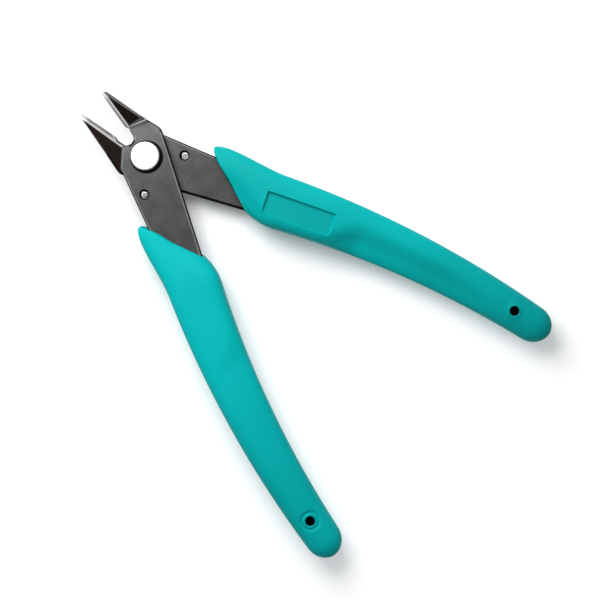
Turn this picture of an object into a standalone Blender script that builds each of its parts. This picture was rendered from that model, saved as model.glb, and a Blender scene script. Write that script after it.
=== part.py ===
"""Flush cutter: two riveted shear blades with moulded grips and a wire return spring.

The two halves are the same blade and grip, one turned over about the tool's long axis. Each half
is drawn closed: its cutting edge lies on +Y, its handle falls away towards -X, its pivot lies just
below the drawing's origin, and Z counts from the plane where the two blades meet. The origin of
the whole tool is on the pivot axis, on the surface that the tool lies on, with +Y towards the jaws
and +Z up.
"""
import math

import bmesh
import bpy
from mathutils import Matrix, Vector

MM = 0.001

# Motion
OPEN_ANGLE = 22.5  # between the two cutting edges at rest, in degrees

# Blade plate, in millimetres
BLADE_T = 2.6
SHEAR_GAP = 0.1  # between the blades' inner faces
EDGE_TIP = 19.0  # tip of the cutting edge, ahead of the drawing's origin
EDGE_ROOT = 8.6
TIP_W = 0.95
TIP_SLOPE = 0.6  # the tip's outer corner lies this far behind its point
SHOULDER = (5.0, 8.2)  # where the ground jaw meets the blade's body, outer side
SHOULDER_R = 1.7
HEEL = (7.3, 3.0)
HEEL_R = 2.2
FLANK = (-6.75, 0.3)
FLANK_R = 1.5
THROAT_LIP = (-3.45, 4.75)
THROAT_SIDE = 0.5  # the throat's side, beyond the line of the cutting edge
THROAT_FOOT = 3.35
THROAT_R = 1.7
CORNER_R = 0.2

# Grinding of the jaw
RIDGE_IN = (1.41, 7.57)
RIDGE_OUT = (5.2, 6.73)
FACET_DROP = 1.35  # plate thickness ground away at the tip
BEVEL_ANGLE = 62.0
EDGE_LAND = 0.15  # upright land under the bevel
BEVEL_RUNOUT = 0.9
CHAMFER = 0.55
RELIEF_DEPTH = 0.2
RELIEF_ROOT = (1.45, 4.45)
RELIEF_TIP_W = 0.95
RELIEF_HEEL = (9.5, -0.2)  # beyond the heel, where the relief leaves the plate

# Pivot and spring
PIVOT_AT = (0.13, -0.67)  # in the drawing of a half
SHANK_R = 2.4
RUNNING_GAP = 0.05
HEAD_R = 3.55
HEAD_H = 1.6
HEAD_EDGE = 0.25
SEAT_GAP = 0.1
TAIL_R = 1.6
TAIL_FLARE = 0.6
HUB_R = 3.0
FLANGE_T = 0.5
FLANGE_LIP = 0.2
WIRE_D = 1.6
WIRE_GAP = 0.15
BEND_R = 1.6
SPRING_HOLE = (-5.45, -8.3)
SPRING_HOLE_GAP = 0.4
SPRING_END_SINK = 0.3

# Handle and tang
HANDLE_LENGTH = 109.0  # the drawing's origin to the grip's end
HANDLE_BOW_R = 262.0
PALM_START = 35.0  # below the origin, where the grip takes its full section
PALM_SPREAD = 8.53  # sideways from the closed tool's middle line, at the palm's start
PALM_LEAN = 14.97  # of the handle there, in degrees
END_ROUND = 5.2
TANG_GAP = 0.3
TANG_W_PALM = 7.0
TANG_W_END = 4.4
TANG_PALM = 48.0
TANG_STRAIGHT = 16.5  # parallel length at the tang's end
TANG_END_WALL = 6.5
TANG_BEND_R = 60.0
TANG_END_R = 1.5

# Grip
TAIL_LENGTH = 27.0  # over which the grip thins towards its end
GRIP_W_PALM = 13.57
GRIP_W_END = 9.2
MOUTH_OUTER = (-10.8, -13.9)
MOUTH_OUTER_PULL = (-12.0, -3.0)
MOUTH_INNER = (-2.4, -29.2)
MOUTH_INNER_PULL = (2.2, -8.0)
PALM_OUTER_PULL = 19.5
PALM_INNER_PULL = 7.8
MOUTH_RIM = 0.9
MOUTH_WALL = 0.45  # left over the blade at the rim
END_WALL = 1.35  # left over the tang at the grip's end
CROWN = 1.05  # the section's natural height over its flatted height
SECTION_POWER_PALM = 3.6
SECTION_POWER_END = 2.5
END_TURN = 80.0  # of the rounded end, before its small flat, in degrees
END_FULLNESS = 0.6  # below 1, the end stays thick for longer
PIN_HOLE_R = 1.2
PIN_HOLE_FROM_END = 10.8
PANEL = (17.4, 6.0)
PANEL_DEPTH = 0.85
PANEL_AT = 40.4
PANEL_SHIFT = 1.3  # from the handle's middle line towards the inner side

# Fineness of round shapes
RING_SIDES = 48
SECTION_SIDES = 28
MOUTH_STEPS = 8
PALM_STEPS = 14
ROUND_STEPS = 5
BOW_STEPS = 10
WIRE_ROUNDNESS = 2
ARC_STEP = 12.0  # of a rounded corner, in degrees
SHARP_ANGLE = 30.0  # edges sharper than this stay crisp, in degrees
WELD = 1e-6  # in metres
REACH = 30.0  # how far a cutter runs past what it cuts

# Worked out from the sizes above
INNER_Z = SHEAR_GAP / 2
OUTER_Z = INNER_Z + BLADE_T
WIRE_Z = -OUTER_Z - WIRE_GAP - WIRE_D / 2
FLANGE_Z = WIRE_Z - WIRE_D / 2 - WIRE_GAP
MID_Z = FLANGE_T - FLANGE_Z  # the tool lies on the collar and on both grips
LOOP_R = HUB_R + WIRE_GAP + WIRE_D / 2
GRIP_AXIS_END = HANDLE_LENGTH - END_ROUND
PALM_END = HANDLE_LENGTH - TAIL_LENGTH
PIN_HOLE_AT = HANDLE_LENGTH - PIN_HOLE_FROM_END
TANG_END = HANDLE_LENGTH - TANG_END_WALL
MOUTH_H = OUTER_Z + TANG_GAP + MOUTH_WALL + MOUTH_RIM
END_H = OUTER_Z + TANG_GAP + END_WALL


def make_collection(name):
    collection = bpy.data.collections.new(name)
    bpy.context.scene.collection.children.link(collection)
    return collection


def make_material(name, colour, metallic, roughness):
    material = bpy.data.materials.new(name)
    material.use_nodes = True
    shader = material.node_tree.nodes["Principled BSDF"]
    shader.inputs["Base Color"].default_value = (*colour, 1.0)
    shader.inputs["Metallic"].default_value = metallic
    shader.inputs["Roughness"].default_value = roughness
    return material


def add_object(name, data, collection):
    obj = bpy.data.objects.new(name, data)
    collection.objects.link(obj)
    return obj


def evaluated_mesh(obj):
    bpy.context.view_layer.update()
    graph = bpy.context.evaluated_depsgraph_get()
    return bpy.data.meshes.new_from_object(obj.evaluated_get(graph))


def mark_as_cutter(obj):
    obj.hide_render = True
    obj.display_type = "WIRE"
    return obj


def cut(obj, cutters):
    for cutter in cutters:
        modifier = obj.modifiers.new(cutter.name, "BOOLEAN")
        modifier.operation = "DIFFERENCE"
        modifier.object = cutter


def baked(obj, name):
    """The object's mesh with its cuts made, shaded smooth up to sharp edges."""
    mesh = evaluated_mesh(obj)
    mesh.name = name
    mesh.materials.clear()
    mesh.shade_smooth()
    mesh.set_sharp_from_angle(angle=math.radians(SHARP_ANGLE))
    bpy.data.objects.remove(obj)
    return mesh


def rounded_outline(corners):
    """Points of a closed outline whose corners (x, y, radius) are rounded by arcs."""
    points = []
    for index, (x, y, radius) in enumerate(corners):
        corner = Vector((x, y))
        before = (Vector(corners[index - 1][:2]) - corner).normalized()
        after = (Vector(corners[(index + 1) % len(corners)][:2]) - corner).normalized()
        half = before.angle(after) / 2
        turn = math.pi - 2 * half
        steps = max(1, round(turn / math.radians(ARC_STEP)))
        centre = corner + (before + after).normalized() * (radius / math.sin(half))
        start = corner + before * (radius / math.tan(half)) - centre
        side = 1 if before.cross(after) < 0 else -1
        for step in range(steps + 1):
            spin = Matrix.Rotation(side * turn * step / steps, 2)
            points.append(centre + spin @ start)
    return points


def plate(name, points, low, high, collection):
    """A flat plate of the given outline, between two heights."""
    curve = bpy.data.curves.new(name, "CURVE")
    curve.dimensions = "2D"
    curve.fill_mode = "BOTH"
    curve.extrude = (high - low) / 2 * MM
    spline = curve.splines.new("POLY")
    spline.points.add(len(points) - 1)
    for place, (x, y) in zip(spline.points, points):
        place.co = (x * MM, y * MM, 0.0, 1.0)
    spline.use_cyclic_u = True
    outline = add_object(name + "_outline", curve, collection)
    mesh = evaluated_mesh(outline)
    bpy.data.objects.remove(outline)
    shape = bmesh.new()
    shape.from_mesh(mesh)
    bmesh.ops.remove_doubles(shape, verts=shape.verts, dist=WELD)
    bmesh.ops.translate(shape, verts=shape.verts, vec=(0, 0, (low + high) / 2 * MM))
    bmesh.ops.recalc_face_normals(shape, faces=shape.faces)
    shape.to_mesh(mesh)
    shape.free()
    return add_object(name, mesh, collection)


def round_cutter(name, radius, x, y, low, high, collection):
    mesh = bpy.data.meshes.new(name)
    shape = bmesh.new()
    place = Matrix.Translation(Vector((x, y, (low + high) / 2)) * MM)
    bmesh.ops.create_cone(shape, cap_ends=True, segments=RING_SIDES, radius1=radius * MM,
                          radius2=radius * MM, depth=(high - low) * MM, matrix=place)
    shape.to_mesh(mesh)
    shape.free()
    return mark_as_cutter(add_object(name, mesh, collection))


def slab_cutter(name, at, along, out, reach, collection):
    """A block standing on the plane through a point: along lies in the plane, out leaves it."""
    along = Vector(along).normalized()
    across = Vector(out).cross(along).normalized()
    out = along.cross(across)
    behind, ahead, half_width, height = reach
    size = Vector((ahead - behind, 2 * half_width, height))
    centre = Vector(at) + along * (ahead + behind) / 2 + out * height / 2
    place = Matrix((along, across, out)).transposed().to_4x4()
    place.translation = centre * MM
    mesh = bpy.data.meshes.new(name)
    shape = bmesh.new()
    bmesh.ops.create_cube(shape, size=1.0)
    bmesh.ops.scale(shape, vec=size * MM, verts=shape.verts)
    bmesh.ops.transform(shape, matrix=place, verts=shape.verts)
    shape.to_mesh(mesh)
    shape.free()
    return mark_as_cutter(add_object(name, mesh, collection))


def turned(name, profile, collection, ring=False):
    """A turned piece from (radius, height) points that run down its outer side, back up for a ring."""
    points = [(radius * MM, 0.0, height * MM) for radius, height in profile]
    edges = [(index, index + 1) for index in range(len(points) - 1)]
    if ring:
        edges.append((len(points) - 1, 0))
    mesh = bpy.data.meshes.new(name)
    mesh.from_pydata(points, edges, [])
    obj = add_object(name + "_profile", mesh, collection)
    screw = obj.modifiers.new("Turn", "SCREW")
    screw.steps = RING_SIDES
    screw.render_steps = RING_SIDES
    screw.use_merge_vertices = True
    screw.merge_threshold = WELD
    return add_object(name, baked(obj, name), collection)


def spine(along):
    """Point and inward side direction of the handle's bowed middle line, a distance below the origin."""
    first_lean = math.radians(PALM_LEAN)
    lean = math.asin(math.sin(first_lean) - (along - PALM_START) / HANDLE_BOW_R)
    x = HANDLE_BOW_R * (math.cos(first_lean) - math.cos(lean)) - PALM_SPREAD
    return Vector((x, -along)), Vector((math.cos(lean), -math.sin(lean)))


def tang_corners(clearance, top):
    """The tang's corners below the given starting corners, grown by a clearance."""
    corners = list(top[:1])
    stations = [(TANG_PALM, TANG_W_PALM, TANG_BEND_R),
                (TANG_END - TANG_STRAIGHT, TANG_W_END, TANG_BEND_R),
                (TANG_END + clearance, TANG_W_END, TANG_END_R)]
    for side, order in ((1, stations), (-1, stations[::-1])):
        for along, width, radius in order:
            middle, inward = spine(along)
            corners.append((*(middle + inward * side * (width / 2 + clearance)), radius))
    return corners + list(top[1:])


def facet_height(x, y):
    """Height of the ground facet over a point of the jaw."""
    ridge = Vector(RIDGE_OUT) - Vector(RIDGE_IN)
    towards_tip = Vector((-ridge.y, ridge.x)).normalized()
    run = (Vector((x, y)) - Vector(RIDGE_IN)).dot(towards_tip)
    full_run = (Vector((0, EDGE_TIP)) - Vector(RIDGE_IN)).dot(towards_tip)
    return OUTER_Z - FACET_DROP * run / full_run


def make_blade_mesh(cutters):
    outline = rounded_outline([
        (0.0, EDGE_TIP, CORNER_R),
        (TIP_W, EDGE_TIP - TIP_SLOPE, CORNER_R),
        (*SHOULDER, SHOULDER_R),
        *tang_corners(0.0, [
            (*HEEL, HEEL_R),
            (*FLANK, FLANK_R),
            (*THROAT_LIP, CORNER_R),
            (THROAT_SIDE, THROAT_FOOT, THROAT_R),
            (THROAT_SIDE, EDGE_ROOT - BEVEL_RUNOUT, CORNER_R),
            (0.0, EDGE_ROOT, CORNER_R)])])
    blade = plate("blade_blank", outline, INNER_Z, OUTER_Z, cutters)

    ridge = Vector((*RIDGE_OUT, OUTER_Z)) - Vector((*RIDGE_IN, OUTER_Z))
    tip_z = facet_height(0.0, EDGE_TIP)
    down_facet = Vector((0.0, EDGE_TIP, tip_z)) - Vector((*RIDGE_IN, OUTER_Z))
    facet_up = ridge.cross(down_facet).normalized()
    towards_tip = facet_up.cross(ridge).normalized()
    facet = slab_cutter("facet_cut", (*RIDGE_IN, OUTER_Z), towards_tip, facet_up,
                        (0.0, REACH, REACH, REACH), cutters)

    slope = math.radians(BEVEL_ANGLE)
    bevel_at = (0.0, EDGE_ROOT - BEVEL_RUNOUT, INNER_Z + EDGE_LAND)
    bevel = slab_cutter("edge_bevel_cut", bevel_at, (0, 1, 0), (-math.sin(slope), 0, math.cos(slope)),
                        (0.0, REACH, REACH, REACH), cutters)

    tip_side = (TIP_W, EDGE_TIP - TIP_SLOPE)
    chamfer_from = Vector((*SHOULDER, facet_height(*SHOULDER) - CHAMFER))
    chamfer_to = Vector((*tip_side, facet_height(*tip_side) - CHAMFER))
    chamfer_line = chamfer_to - chamfer_from
    outward = Vector((chamfer_line.y, -chamfer_line.x, chamfer_line.xy.length))
    chamfer = slab_cutter("outer_chamfer_cut", chamfer_from, chamfer_line, outward,
                          (0.0, REACH, REACH, REACH), cutters)

    relief_outline = [RELIEF_ROOT, (RELIEF_TIP_W, EDGE_TIP), (RELIEF_TIP_W, REACH), (REACH, REACH),
                      RELIEF_HEEL]
    relief = mark_as_cutter(plate("relief_cut", relief_outline, INNER_Z - BLADE_T,
                                  INNER_Z + RELIEF_DEPTH, cutters))

    bore = round_cutter("pivot_bore_cut", SHANK_R + RUNNING_GAP, *PIVOT_AT, -REACH, REACH, cutters)
    spring_bore = round_cutter("spring_bore_cut", WIRE_D / 2 + SPRING_HOLE_GAP, *SPRING_HOLE,
                               -REACH, REACH, cutters)
    cut(blade, [facet, bevel, chamfer, relief, bore, spring_bore])
    return baked(blade, "blade")


def hermite(start, start_pull, end, end_pull, share):
    """Point on a smooth curve between two points, leaving and arriving along the pulls."""
    a = (1 + 2 * share) * (1 - share) ** 2
    b = share * (1 - share) ** 2
    c = share * share * (3 - 2 * share)
    d = share * share * (share - 1)
    return Vector(start) * a + Vector(start_pull) * b + Vector(end) * c + Vector(end_pull) * d


def mix(start, end, share):
    return start + (end - start) * share


def ease(share):
    share = min(max(share, 0.0), 1.0)
    return share * share * (3 - 2 * share)


def grip_width(along):
    return mix(GRIP_W_PALM, GRIP_W_END, (along - PALM_START) / (GRIP_AXIS_END - PALM_START))


def grip_sections():
    """Sections from mouth to end: outer point, inner point, half height, section power."""
    palm_mid, palm_in = spine(PALM_START)
    down = Vector((palm_in.y, -palm_in.x))
    palm_outer = palm_mid - palm_in * GRIP_W_PALM / 2
    palm_inner = palm_mid + palm_in * GRIP_W_PALM / 2
    rim = [math.pi / 2 * step / ROUND_STEPS for step in range(ROUND_STEPS)]
    first_share = MOUTH_RIM / (palm_outer - Vector(MOUTH_OUTER)).length
    places = [(first_share * (1 - math.cos(turn)), MOUTH_RIM * (1 - math.sin(turn))) for turn in rim]
    for step in range(1, MOUTH_STEPS + 1):
        places.append((mix(first_share, 1.0, step / (MOUTH_STEPS + 1)), 0.0))
    for share, inset in places:
        outer = hermite(MOUTH_OUTER, MOUTH_OUTER_PULL, palm_outer, down * PALM_OUTER_PULL, share)
        inner = hermite(MOUTH_INNER, MOUTH_INNER_PULL, palm_inner, down * PALM_INNER_PULL, share)
        pull_in = (inner - outer).normalized() * inset
        height = mix(MOUTH_H, MID_Z, ease(share)) - inset
        yield outer + pull_in, inner - pull_in, height, SECTION_POWER_PALM
    for step in range(PALM_STEPS + 1):
        along = mix(PALM_START, GRIP_AXIS_END, step / PALM_STEPS)
        middle, inward = spine(along)
        tail = ease((along - PALM_END) / (GRIP_AXIS_END - PALM_END))
        power = mix(SECTION_POWER_PALM, SECTION_POWER_END, step / PALM_STEPS)
        side = inward * grip_width(along) / 2
        yield middle - side, middle + side, mix(MID_Z, END_H, tail), power
    middle, inward = spine(GRIP_AXIS_END)
    for step in range(1, ROUND_STEPS + 1):
        turn = math.radians(END_TURN) * step / ROUND_STEPS
        side = inward * math.cos(turn) * GRIP_W_END / 2
        end = middle + Vector((0, -END_ROUND * math.sin(turn)))
        yield end - side, end + side, END_H * math.cos(turn) ** END_FULLNESS, SECTION_POWER_END


def make_grip_mesh(cutters):
    """A moulded sleeve, lofted through its sections and cored out for the tang."""
    mesh = bpy.data.meshes.new("grip_blank")
    shape = bmesh.new()
    rings = []
    for outer, inner, height, power in grip_sections():
        ring = bmesh.ops.create_circle(shape, segments=SECTION_SIDES, radius=1.0)["verts"]
        middle = (outer + inner) / 2
        half = (inner - outer) / 2
        for vert in ring:
            across = math.copysign(abs(vert.co.x) ** (2 / power), vert.co.x)
            up = math.copysign(abs(vert.co.y) ** (2 / power), vert.co.y) * height * CROWN
            level = min(max(up, -height), height)
            vert.co = Vector((*(middle + half * across), level)) * MM
        rings.append(list({edge for vert in ring for edge in vert.link_edges}))
    for ring, following in zip(rings, rings[1:]):
        bmesh.ops.bridge_loops(shape, edges=ring + following)
    for ring in (rings[0], rings[-1]):
        bmesh.ops.contextual_create(shape, geom=ring)
    bmesh.ops.recalc_face_normals(shape, faces=shape.faces)
    shape.to_mesh(mesh)
    shape.free()
    grip = add_object("grip_blank", mesh, cutters)

    slot_outline = rounded_outline(tang_corners(TANG_GAP, [
        (HEEL[0] + TANG_GAP, HEEL[1], CORNER_R), (FLANK[0] - TANG_GAP, FLANK[1], CORNER_R)]))
    slot = mark_as_cutter(plate("tang_slot_cut", slot_outline, INNER_Z - TANG_GAP, OUTER_Z + TANG_GAP,
                                cutters))
    pin_mid, _ = spine(PIN_HOLE_AT)
    pin = round_cutter("pin_hole_cut", PIN_HOLE_R, *pin_mid, -REACH, REACH, cutters)
    panel_mid, panel_in = spine(PANEL_AT)
    panel_at = Vector((*(panel_mid + panel_in * PANEL_SHIFT), PANEL_DEPTH - MID_Z))
    length, width = PANEL
    panel = slab_cutter("panel_cut", panel_at, (panel_in.y, -panel_in.x, 0), (0, 0, -1),
                        (-length / 2, length / 2, width / 2, MID_Z), cutters)
    cut(grip, [slot, pin, panel])
    return baked(grip, "grip")


def make_rivet(collection):
    head_z = OUTER_Z + SEAT_GAP
    step_z = -OUTER_Z - SEAT_GAP
    return turned("pivot_rivet", [
        (0.0, head_z + HEAD_H),
        (HEAD_R - HEAD_EDGE, head_z + HEAD_H),
        (HEAD_R, head_z + HEAD_H - HEAD_EDGE),
        (HEAD_R, head_z),
        (SHANK_R, head_z),
        (SHANK_R, step_z),
        (TAIL_R, step_z),
        (TAIL_R, TAIL_FLARE - MID_Z),
        (TAIL_R + TAIL_FLARE, -MID_Z),
        (0.0, -MID_Z)], collection)


def make_collar(collection):
    top = -OUTER_Z - 2 * SEAT_GAP
    flange_r = LOOP_R + WIRE_D / 2 + FLANGE_LIP
    bore_r = TAIL_R + RUNNING_GAP
    return turned("spring_collar", [
        (bore_r, top),
        (HUB_R, top),
        (HUB_R, FLANGE_Z),
        (flange_r, FLANGE_Z),
        (flange_r, -MID_Z),
        (bore_r + TAIL_FLARE + RUNNING_GAP, -MID_Z),
        (bore_r, TAIL_FLARE + RUNNING_GAP - MID_Z)], collection, ring=True)


def spring_half_route(end_z):
    """Half of the wire's route on the +X side: from its upright end down and round to +Y."""
    turn = Matrix.Rotation(math.radians(OPEN_ANGLE / 2), 2)
    hole = Vector(SPRING_HOLE) - Vector(PIVOT_AT)
    foot = turn @ Vector((-hole.x, hole.y))
    leave = math.atan2(foot.y, foot.x) + math.acos(LOOP_R / foot.length)
    tangent = Vector((math.cos(leave), math.sin(leave))) * LOOP_R
    inward = (tangent - foot).normalized()
    route = [Vector((*foot, end_z))]
    for step in range(ROUND_STEPS + 1):
        angle = math.pi / 2 * step / ROUND_STEPS
        flat = foot + inward * BEND_R * (1 - math.cos(angle))
        route.append(Vector((*flat, WIRE_Z + BEND_R * (1 - math.sin(angle)))))
    for step in range(BOW_STEPS):
        angle = mix(leave, math.pi / 2, step / BOW_STEPS)
        route.append(Vector((math.cos(angle) * LOOP_R, math.sin(angle) * LOOP_R, WIRE_Z)))
    return route


def make_spring(collection):
    rear_side = spring_half_route(-INNER_Z - SPRING_END_SINK)
    front_side = spring_half_route(OUTER_Z - SPRING_END_SINK)
    bow = Vector((0.0, LOOP_R, WIRE_Z))
    mirrored = [Vector((-point.x, point.y, point.z)) for point in front_side]
    route = rear_side + [bow] + mirrored[::-1]
    curve = bpy.data.curves.new("return_spring", "CURVE")
    curve.dimensions = "3D"
    curve.bevel_depth = WIRE_D / 2 * MM
    curve.bevel_resolution = WIRE_ROUNDNESS
    curve.use_fill_caps = True
    spline = curve.splines.new("POLY")
    spline.points.add(len(route) - 1)
    for place, point in zip(spline.points, route):
        place.co = (*(point * MM), 1.0)
    spline.use_smooth = True
    return add_object("return_spring", curve, collection)


def main():
    for obj in list(bpy.data.objects):
        bpy.data.objects.remove(obj)
    parts = make_collection("flush_cutter")
    cutters = make_collection("cutters")

    oxide = make_material("oxide_steel", (0.11, 0.11, 0.11), 0.9, 0.42)
    bright = make_material("bright_steel", (0.80, 0.80, 0.81), 1.0, 0.22)
    spring_steel = make_material("spring_steel", (0.55, 0.55, 0.56), 1.0, 0.30)
    teal = make_material("teal_grip", (0.0, 0.42, 0.42), 0.0, 0.5)

    blade_mesh = make_blade_mesh(cutters)
    blade_mesh.materials.append(oxide)
    grip_mesh = make_grip_mesh(cutters)
    grip_mesh.materials.append(teal)

    tool = add_object("tool", None, parts)
    tool.location = (0, 0, MID_Z * MM)
    half_angle = math.radians(OPEN_ANGLE / 2)
    turned_over = Matrix.Rotation(math.pi, 4, "Y")
    for side, placed in (("front", Matrix.Rotation(-half_angle, 4, "Z")),
                         ("rear", Matrix.Rotation(half_angle, 4, "Z") @ turned_over)):
        half = add_object(side + "_half", None, parts)
        half.parent = tool
        half.matrix_local = placed
        for name, mesh in (("blade", blade_mesh), ("grip", grip_mesh)):
            piece = add_object(side + "_" + name, mesh, parts)
            piece.parent = half
            piece.location = Vector((*PIVOT_AT, 0)) * -MM

    for piece, material in ((make_rivet(parts), bright), (make_collar(parts), bright),
                            (make_spring(parts), spring_steel)):
        piece.data.materials.append(material)
        piece.parent = tool


main()
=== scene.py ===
import math

import bmesh
import bpy
from mathutils import Matrix, Vector


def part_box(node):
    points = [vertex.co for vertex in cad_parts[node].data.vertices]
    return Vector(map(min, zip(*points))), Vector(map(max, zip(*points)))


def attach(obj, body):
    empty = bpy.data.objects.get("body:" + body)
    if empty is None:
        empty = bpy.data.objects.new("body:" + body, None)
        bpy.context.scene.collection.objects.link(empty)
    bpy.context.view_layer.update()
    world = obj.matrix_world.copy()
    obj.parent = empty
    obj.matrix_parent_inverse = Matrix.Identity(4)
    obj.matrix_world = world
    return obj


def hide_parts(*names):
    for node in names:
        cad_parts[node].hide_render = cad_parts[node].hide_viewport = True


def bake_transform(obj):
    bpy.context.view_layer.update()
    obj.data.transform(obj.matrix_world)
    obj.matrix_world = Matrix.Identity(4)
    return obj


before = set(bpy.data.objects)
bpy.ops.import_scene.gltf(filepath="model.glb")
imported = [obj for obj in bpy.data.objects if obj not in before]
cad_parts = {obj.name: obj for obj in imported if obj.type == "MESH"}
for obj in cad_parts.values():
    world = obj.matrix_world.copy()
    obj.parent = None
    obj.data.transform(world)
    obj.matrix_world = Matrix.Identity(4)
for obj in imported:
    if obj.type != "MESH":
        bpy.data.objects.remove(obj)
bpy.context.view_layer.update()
bpy.ops.object.select_all(action="DESELECT")
bpy.context.scene.view_settings.view_transform = "Standard"

# The two blades are one stamped and hardened steel plate, used twice, the second one turned over.
# The jaws are ground hollow on both faces and their edges honed bright. Tumbling has rounded the
# plate's other edges, and a grey phosphate covers its faces. The rivet holds the pair together.
MM = 0.001
OPEN_HALF = math.radians(11.25)  # each half's turn away from the closed tool
PIVOT_AT = Vector((0.13, -0.67)) * MM  # in the drawing of a half
EDGE_TIP = 19.0 * MM
EDGE_ROOT = 7.7 * MM             # where the cutting edge runs out into the throat
EDGE_RUNOUT = 1.3 * MM           # of the edge's bevel, along the throat
THROAT_SIDE = 0.5 * MM
STRIP_ROOT = 4.45 * MM           # where the polished strip behind the edge ends
FACET_ROOT = 8.07 * MM           # where the facet's even grinding ends, short of its ridge
RIDGE_FROM = Vector((1.41, 7.57)) * MM
RIDGE_ALONG = Vector((0.976, -0.217))
# The thin dark line along the very cutting edge is painted shade; its widths follow.
EDGE_SHADE_W = (0.30, 0.06)       # at the edge's root and at its tip, in millimetres
HONED_BEVEL_W = (0.62, 0.38)
BRIGHT_BEVEL_W = (1.0, 0.66)
HONED_STRIP_W = (0.65, 0.6)
TANG_FROM = -33 * MM             # the tang inside the grip keeps its dark scale
SHOULDER_FROM = 2 * MM           # the shoulder and throat keep a crisp edge above this
STEP_HEIGHT = 0.5 * MM           # walls lower than this belong to the grinding
JAW_W = 5.0 * MM
# Each jaw differs a little from the shared blank. Each shift, in millimetres: from where along the jaw,
# over how long, how far sideways at its edge and at its outer side, and how far back.
FRONT_JAW_FIT = ((6.0, 3.0, 0.05, 0.0, 0.0), (8.0, 4.0, 0.0, 0.45, 0.0), (12.0, 6.0, -0.2, 0.0, 0.05))
REAR_JAW_FIT = ((4.5, 5.0, 0.0, 0.12, 0.0), (11.0, 6.0, -0.25, -0.25, 0.1))
SPRING_HOLE = Vector((-5.45, -8.3)) * MM
SPRING_HOLE_NEAR = 1.5 * MM
SHADE_RING_R = 1.12 * MM
SHADE_RING_BORE_R = 0.93 * MM
PIVOT_BORE_NEAR = 2.7 * MM
HEAD_NEAR = 4.9 * MM             # the throat's rim stays dark this close to the pivot
TUMBLED_ROUND = 0.58 * MM
RIDGE_ROUND = 0.25 * MM
HOLE_ROUND = 0.12 * MM
ROUND_SEGMENTS = 5
TINY_ARC = 0.06 * MM             # shorter edges than this are merged
TINY_ARC_UNDER = EDGE_ROOT + 2 * MM  # up to here along the blade
CORNER_NEAR = 0.3 * MM
WELD = 1e-6
SEAM_ANGLE = math.radians(0.5)   # seams flatter than this are dissolved
SMOOTH_UNDER = math.radians(40)
# Parts of a face's normal that tell the finishes of the blade apart.
FLAT = 0.999
NEARLY_FLAT = 0.95
UPRIGHT = 0.1
SAME_PLANE = 0.9999
EDGE_BEVEL_SIDE = -0.5
EDGE_BEVEL_UP = 0.3
EDGE_RUNOUT_SIDE = -0.3
CHAMFER_UP = (0.6, 0.8)
RIM_AHEAD = 0.6                  # the left-hand rim looks less far ahead than this
RIM_UP_AHEAD = 0.45              # it is painted bright from this slope ahead of the drawing's origin, as painted highlight
RIM_UP_BEHIND = 0.8              # and from this one behind it
TURNED_RIM_UP = (-0.9, -0.6)     # bands of its lower side, which looks up on the turned-over blade; the flatter band is painted lighter as painted highlight
TOP_ROUND_UP = 0.85

shear_level = (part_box("front_blade")[0].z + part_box("rear_blade")[1].z) / 2
lift = Matrix.Translation((0, 0, shear_level))
from_pivot = Matrix.Translation((-PIVOT_AT.x, -PIVOT_AT.y, 0))
front_place = lift @ Matrix.Rotation(-OPEN_HALF, 4, "Z") @ from_pivot
rear_place = lift @ Matrix.Rotation(OPEN_HALF, 4, "Z") @ Matrix.Rotation(math.pi, 4, "Y") @ from_pivot


def pick_up(piece):
    """Makes a piece the only one that the next operators act on."""
    bpy.ops.object.select_all(action="DESELECT")
    piece.select_set(True)
    bpy.context.view_layer.objects.active = piece


def open_up(piece):
    pick_up(piece)
    bpy.ops.object.mode_set(mode="EDIT")
    bpy.ops.mesh.select_mode(type="VERT")
    bpy.ops.mesh.select_all(action="SELECT")


def close_up():
    bpy.ops.object.mode_set(mode="OBJECT")


def select_where(piece, kind, test):
    """Selects the vertices, edges or faces of an opened piece that pass a test."""
    bpy.ops.mesh.select_mode(type=kind)
    bpy.ops.mesh.select_all(action="DESELECT")
    shape = bmesh.from_edit_mesh(piece.data)
    elements = {"VERT": shape.verts, "EDGE": shape.edges, "FACE": shape.faces}[kind]
    for element in elements:
        if test(element):
            element.select_set(True)
    shape.select_flush_mode()
    bmesh.update_edit_mesh(piece.data)


def placed_copy(blank, name, place):
    """A finished copy of a blank with its own mesh, whose place is in that mesh."""
    copy = bpy.data.objects.new(name, blank.data.copy())
    copy.data.transform(place)
    bpy.context.collection.objects.link(copy)
    return copy


def edge_middle(edge):
    return (edge.verts[0].co + edge.verts[1].co) / 2


def is_flat(face):
    return abs(face.normal.z) > FLAT


def is_upright(face):
    heights = [vert.co.z for vert in face.verts]
    return abs(face.normal.z) < UPRIGHT and max(heights) - min(heights) > STEP_HEIGHT


def is_facet(face):
    return NEARLY_FLAT < face.normal.z < FLAT


def is_between(edge, is_one, is_other):
    """Whether an edge lies between two kinds of face."""
    faces = list(edge.link_faces)
    return len(faces) == 2 and any(is_one(a) and is_other(b) for a, b in (faces, faces[::-1]))


def is_plate_edge(edge):
    return edge_middle(edge).y < EDGE_ROOT + TUMBLED_ROUND and is_between(edge, is_flat, is_upright)


def is_outline_edge(edge):
    middle = edge_middle(edge).xy
    off_bore = (middle - PIVOT_AT).length > PIVOT_BORE_NEAR
    return off_bore and (middle - SPRING_HOLE).length > SPRING_HOLE_NEAR and is_plate_edge(edge)


def is_spring_hole_edge(edge):
    return (edge_middle(edge).xy - SPRING_HOLE).length < SPRING_HOLE_NEAR and is_plate_edge(edge)


def is_ridge(edge):
    return is_between(edge, is_flat, is_facet)


def is_tiny_arc(edge):
    return edge.calc_length() < TINY_ARC and edge_middle(edge).y < TINY_ARC_UNDER


(PLATE, FACET, RUNOUT, RIDGE, RELIEF, POLISHED, HONED, BURNISHED, LAPPED, CHAMFER, TUMBLED,
 BLANKED) = range(12)


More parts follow.
